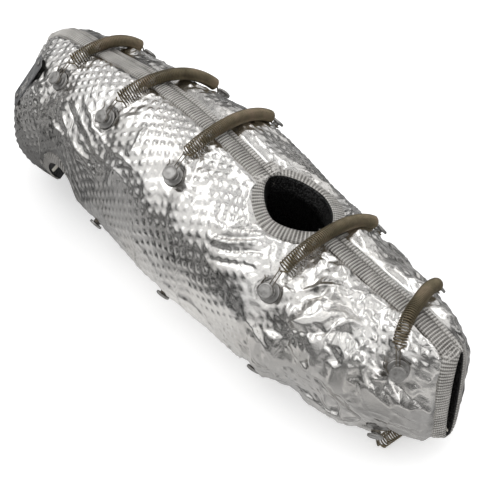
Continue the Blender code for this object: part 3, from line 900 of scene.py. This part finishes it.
def coil(route, open_share, tight_pitch, open_pitch):
    """Centre line of a close-wound spring whose turns open towards its start."""
    run = run_along(route)
    ahead = np.gradient(route, axis=0)
    ahead /= np.linalg.norm(ahead, axis=1, keepdims=True)
    hint, frames = np.array((1.0, 0.0, 0.0)), []
    for direction in ahead:
        hint = unit(hint - direction * hint.dot(direction))
        frames.append((hint, np.cross(direction, hint)))
    frames = np.array(frames)
    length, turn, place = run[-1], 0.0, 0.0
    radius = (SPRING_OD - SPRING_WIRE) / 2
    per_turn = 14
    points = []
    while place < length:
        share = place / length
        opened = 1 - smooth(np.array(share / open_share))
        pitch = tight_pitch + (open_pitch - tight_pitch) * float(opened)
        centre = np.array([np.interp(place, run, route[:, k]) for k in range(3)])
        side = np.array([np.interp(place, run, frames[:, 0, k]) for k in range(3)])
        up = np.array([np.interp(place, run, frames[:, 1, k]) for k in range(3)])
        points.append(centre + radius * (side * math.cos(turn) + up * math.sin(turn)))
        turn += 2 * math.pi / per_turn
        place += pitch / per_turn
    return np.array(points)


def loop_round(neck, axis, toward, radius, turn=1.6 * math.pi, count=14):
    """Points of a loop about a stud's neck, open on the side of toward."""
    flat = toward - neck
    flat = unit(flat - axis * flat.dot(axis))
    other = np.cross(axis, flat)
    angles = -turn / 2 + turn * np.linspace(0, 1, count)
    return np.array([neck + (-flat * math.cos(a) + other * math.sin(a)) * radius
                     for a in angles])


def spring(node, body, route, rear_neck, rear_axis):
    """A lacing spring, hooked at its rear end and with a raised loop at its front."""
    turns = coil(route, OPEN_SHARE, TIGHT_PITCH, OPEN_PITCH)
    last = unit(route[-1] - route[-2])
    hook_loop = loop_round(rear_neck, rear_axis, route[-1], NECK_D / 2 + SPRING_WIRE / 2 + 0.3)
    hook = eased(np.vstack((turns[-1] + last * 0.8, route[-1] + last * 3.0, hook_loop)), 5)
    first = unit(route[0] - route[1])
    bend = [turns[0] + first * 0.4, route[0] + first * 1.6 + (turns[0] - route[0]) * 0.6,
            route[0] + first * 3.4, route[0] + first * 1.6 - (turns[0] - route[0]) * 0.6]
    wire = np.vstack((eased(bend, 5)[::-1], turns, hook))
    points, faces = tube(wire, SPRING_WIRE / 2)
    return mesh_object(f"{node}_wound", points, faces, SPRING_LOOK, body, [node],
                       0)


def hairpin(node, body, route, neck, axis, seed):
    """Lacing wire: from the stud's neck to the spring's front loop, twisted, one curled tail."""
    random = np.random.default_rng(seed)
    first = unit(route[0] - route[1])
    eye = route[0] + first * 2.8
    side = unit(np.cross(axis, eye - neck))
    loop = loop_round(neck, axis, eye, (NECK_D + LACING_WIRE) / 2 + 0.25, 1.7 * math.pi)
    low_leg, high_leg = ((neck + eye) / 2 + side * sign * 1.3 + axis * (0.8 + sign * 0.5)
                         for sign in (-1, 1))
    up = axis * 1.4
    path = [eye + side * 1.4 + up * 0.3, high_leg, *loop[::-1], low_leg,
            eye - side * 1.4 + up * 0.3, eye + first * 0.4 + up, eye + side * 1.2 - up * 0.2]
    main = tube(eased(path, 6), LACING_WIRE / 2)
    down = unit(neck - eye)
    tail = [neck + side * 5.6 + down * 2.0 - axis * 1.0,
            neck + side * (7.0 + random.uniform(-1, 1)) + down * 0.5 - axis * 1.4,
            neck + side * 8.4 - down * 4.0 - axis * 0.6,
            neck + side * 7.4 - down * (7.0 + random.uniform(-1, 1)) + axis * 0.4,
            neck + side * 9.2 - down * 9.0 + axis * 0.8]
    wrap = [neck + axis * 1.2 + 3.45 * (down * math.cos(a) + side * math.sin(a))
            - axis * a * 0.12 for a in np.linspace(-0.5, 2 * math.pi, 16)]
    curl = tube(eased([*wrap, *tail], 5), LACING_WIRE / 2)
    points, faces = joined(main, curl)
    return mesh_object(f"{node}_bent", points, faces, WIRE_LOOK, body, [node],
                       0)


def top_lacings():
    ride = SPRING_OD / 2 + SPRING_RIDE
    for number, (xf, af, xb, ab) in enumerate(TOP_LACING, 1):
        _, front_axis, front_neck = stud(
            f"top_capstan_front_{number}", "front_half", xf, af, FRONT)
        _, rear_axis, rear_neck = stud(
            f"top_capstan_rear_{number}", "back_half", xb, ab, BACK)
        route = section_route((xf, math.radians(af)), (xb, math.radians(ab)), True, ride)
        route = resample(route, 22.0, 14.0, 40)
        body = f"lacing_{number}"
        spring(f"top_spring_{number}", body, route, rear_neck, rear_axis)
        hairpin(f"lacing_wire_{number}", body, route, front_neck, front_axis, number)


def lower_lacings():
    for number, x in enumerate(LOWER_X, 1):
        _, front_axis, front_neck = stud(
            f"lower_capstan_front_{number}", "front_half", x, LOWER_FRONT, FRONT)
        _, rear_axis, rear_neck = stud(
            f"lower_capstan_rear_{number}", "back_half", x, LOWER_BACK, BACK)
        route = np.array([(x, y, SPRING_OD / 2) for y in np.linspace(-34, 34, 40)])
        spring(f"lower_spring_{number}", "front_half", route, rear_neck, rear_axis)
        hairpin(f"lower_wire_{number}", "front_half", route, front_neck, front_axis,
                20 + number)


# ---- plate -----------------------------------------------------------------------------------
def plate():
    """The blank plate, with a raised rim, and its two rivets."""
    normal = outward(PLATE_X, PLATE_ANGLE, FRONT)
    middle = surface(PLATE_X, PLATE_ANGLE, FRONT) + normal * PLATE_LIFT
    up = unit(np.array((0, 0, 1)) - normal * normal[2])
    across = np.cross(up, normal)
    outline, corner = [], 3.0
    for cx, cy, start in ((1, 1, 0), (-1, 1, 90), (-1, -1, 180), (1, -1, 270)):
        for k in range(7):
            a = math.radians(start + 15 * k)
            outline.append((cx * (PLATE_W / 2 - corner) + corner * math.cos(a),
                            cy * (PLATE_L / 2 - corner) + corner * math.sin(a)))
    outline = np.array(outline)
    rings = []
    for shrink, high in ((1.0, -0.5), (1.0, 0.25), (0.96, 0.5), (0.9, 0.5), (0.86, 0.2),
                         (0.4, 0.15)):
        rings.append([middle + across * a * shrink + up * (b - (1 - shrink) * b * 0.5)
                      + normal * high for a, b in outline])
    size = len(outline)
    points = np.array(rings).reshape(-1, 3)
    faces = [tuple(range(size))[::-1]]
    for k in range(len(rings) - 1):
        faces += [(k * size + n, k * size + (n + 1) % size,
                   (k + 1) * size + (n + 1) % size, (k + 1) * size + n) for n in range(size)]
    faces.append(tuple(range((len(rings) - 1) * size, len(rings) * size)))
    mesh_object("blank_rating_plate", points, faces, PLATE_LOOK, "front_half",
                ["rating_plate"], 25)
    for name, sign in (("upper", 1), ("lower", -1)):
        seat = middle + up * sign * (PLATE_L / 2 - 5.0) + normal * (PLATE_T / 2 + 0.05)
        dome = [(0, 0), (2.5, 0), (2.5, 0.25), (2.2, 0.75), (1.5, 1.15), (0.7, 1.35),
                (0, 1.4)]
        points, faces = turned(dome, seat, normal, 24)
        mesh_object(f"domed_rivet_{name}", points, faces, STUD_LOOK, "front_half",
                    [f"plate_rivet_{name}"], 30)


# ---- the pieces -------------------------------------------------------------------------------
for half, side in HALVES:
    foil_skin(half, side)
    core = FOIL + LAYER_GAP
    blanket, _ = layer(f"{half}_fibre_blanket", half, side, core, BLANKET, BLANKET_LOOK,
                       f"{half}_blanket", 190, 44)
    liner, liner_area = layer(f"{half}_liner", half, side, core + BLANKET + LAYER_GAP,
                              INNER_MESH, LINER_PAINTED_SHADE_LOOK, f"{half}_inner_mesh",
                              190, 44)
    tip = HALF_LENGTH - 1.0
    # the front's seam hem laps over the back's, which shows as a narrower strip
    narrow, start, lift = (HEM, 0.0, 1.4) if side == FRONT else (5.0, 1.0, 0.2)
    hems = [
        edge_hem(f"{half}_hem_seam_left", f"{half}_seam_tape_left", half, side, -tip,
                 HEM_SPLITS[0], True, narrow, lift, start),
        edge_hem(f"{half}_hem_outlet", f"{half}_outlet_tape", half, side, HEM_SPLITS[0] + 0.2,
                 HEM_SPLITS[1] - 0.2, True, HEM, 0.9),
        edge_hem(f"{half}_hem_seam_right", f"{half}_seam_tape_right", half, side,
                 HEM_SPLITS[1], tip, True, narrow, lift, start),
        edge_hem(f"{half}_hem_ports", f"{half}_port_tape", half, side, -tip, tip, False),
        end_hem(f"{half}_hem_end_left", f"{half}_end_tape_left", half, side, -1),
        end_hem(f"{half}_hem_end_right", f"{half}_end_tape_right", half, side, 1),
    ]
    hems += cut_lips(half, side)

top_lacings()
lower_lacings()
plate()

# ---- floor and light ----------------------------------------------------------------------------
FLOOR_HALF = 6.0


def floor():
    """Pale to look at; what the foil mirrors of it is patchy, like a lit room."""
    m = Nodes("pale_floor", (0.8, 0.8, 0.8), 0.9, 0.0)
    m.feed(m.shader.inputs["Emission Color"], (1.0, 1.0, 1.0, 1.0))
    m.feed(m.shader.inputs["Emission Strength"], 0.5)
    patches = m.ramp(m.noise(3.4, 3.0, 0.5), (
        (0.38, grey(0.02)), (0.45, grey(0.22)), (0.54, grey(0.52)), (0.66, grey(0.90, 0.01))))
    room = m.add("ShaderNodeEmission", Color=patches, Strength=0.92)
    seen = m.add("ShaderNodeLightPath").outputs["Is Glossy Ray"]
    mix = m.add("ShaderNodeMixShader", Fac=seen)
    m.feed(mix.inputs[1], m.shader.outputs[0])
    m.feed(mix.inputs[2], room.outputs[0])
    m.feed(m.tree.nodes["Material Output"].inputs["Surface"], mix.outputs[0])
    mesh = bpy.data.meshes.new("floor")
    corners = [(-FLOOR_HALF, -FLOOR_HALF), (FLOOR_HALF, -FLOOR_HALF),
               (FLOOR_HALF, FLOOR_HALF), (-FLOOR_HALF, FLOOR_HALF)]
    mesh.from_pydata([(a, b, -0.0006) for a, b in corners], [], [(0, 1, 2, 3)])
    mesh.materials.append(m.material)
    made = bpy.data.objects.new("floor", mesh)
    bpy.context.collection.objects.link(made)


def softbox(name, place, size, power, aim=(0.0, 0.0, 0.06)):
    light = bpy.data.lights.new(name, "AREA")
    light.shape = "RECTANGLE"
    light.size, light.size_y = size
    light.energy = power
    made = bpy.data.objects.new(name, light)
    bpy.context.collection.objects.link(made)
    made.location = place
    made.rotation_euler = (Vector(place) - Vector(aim)).to_track_quat("Z", "Y").to_euler()


def studio_world():
    """Bright overhead and darker towards the horizon; patchy where the foil mirrors it."""
    world = bpy.data.worlds.new("studio")
    bpy.context.scene.world = world
    world.use_nodes = True
    tree = world.node_tree
    place = tree.nodes.new("ShaderNodeTexCoord")
    split = tree.nodes.new("ShaderNodeSeparateXYZ")
    ramp = tree.nodes.new("ShaderNodeValToRGB")
    tree.links.new(place.outputs["Generated"], split.inputs["Vector"])
    tree.links.new(split.outputs["Z"], ramp.inputs["Fac"])
    low, high = ramp.color_ramp.elements
    low.position, low.color = 0.0, (0.10, 0.10, 0.10, 1)
    high.position, high.color = 1.0, (1.0, 1.0, 1.0, 1)
    for position, value in ((0.16, 0.14), (0.32, 0.5), (0.5, 0.85)):
        ramp.color_ramp.elements.new(position).color = (value, value, value, 1)
    background = tree.nodes["Background"]
    tree.links.new(ramp.outputs["Color"], background.inputs["Color"])
    patches = tree.nodes.new("ShaderNodeTexNoise")
    patches.inputs["Scale"].default_value = 2.6
    patches.inputs["Detail"].default_value = 2.0
    tree.links.new(place.outputs["Generated"], patches.inputs["Vector"])
    strength = tree.nodes.new("ShaderNodeMapRange")
    for index, value in ((1, 0.38), (2, 0.50), (3, 0.10), (4, 1.2)):
        strength.inputs[index].default_value = value
    tree.links.new(patches.outputs["Fac"], strength.inputs[0])
    seen = tree.nodes.new("ShaderNodeLightPath")
    mirrored = tree.nodes.new("ShaderNodeMix")
    mirrored.inputs["A"].default_value = 1.0
    tree.links.new(seen.outputs["Is Glossy Ray"], mirrored.inputs["Factor"])
    tree.links.new(strength.outputs[0], mirrored.inputs["B"])
    tree.links.new(mirrored.outputs["Result"], background.inputs["Strength"])


floor()
studio_world()
softbox("key", (-0.9, -0.7, 1.7), (1.1, 0.8), 4.5)
softbox("fill", (1.5, -0.5, 0.9), (0.4, 1.2), 1.6)
softbox("top", (0.1, 0.5, 1.9), (1.5, 0.6), 3.2)
bpy.context.scene.view_settings.view_transform = "Standard"
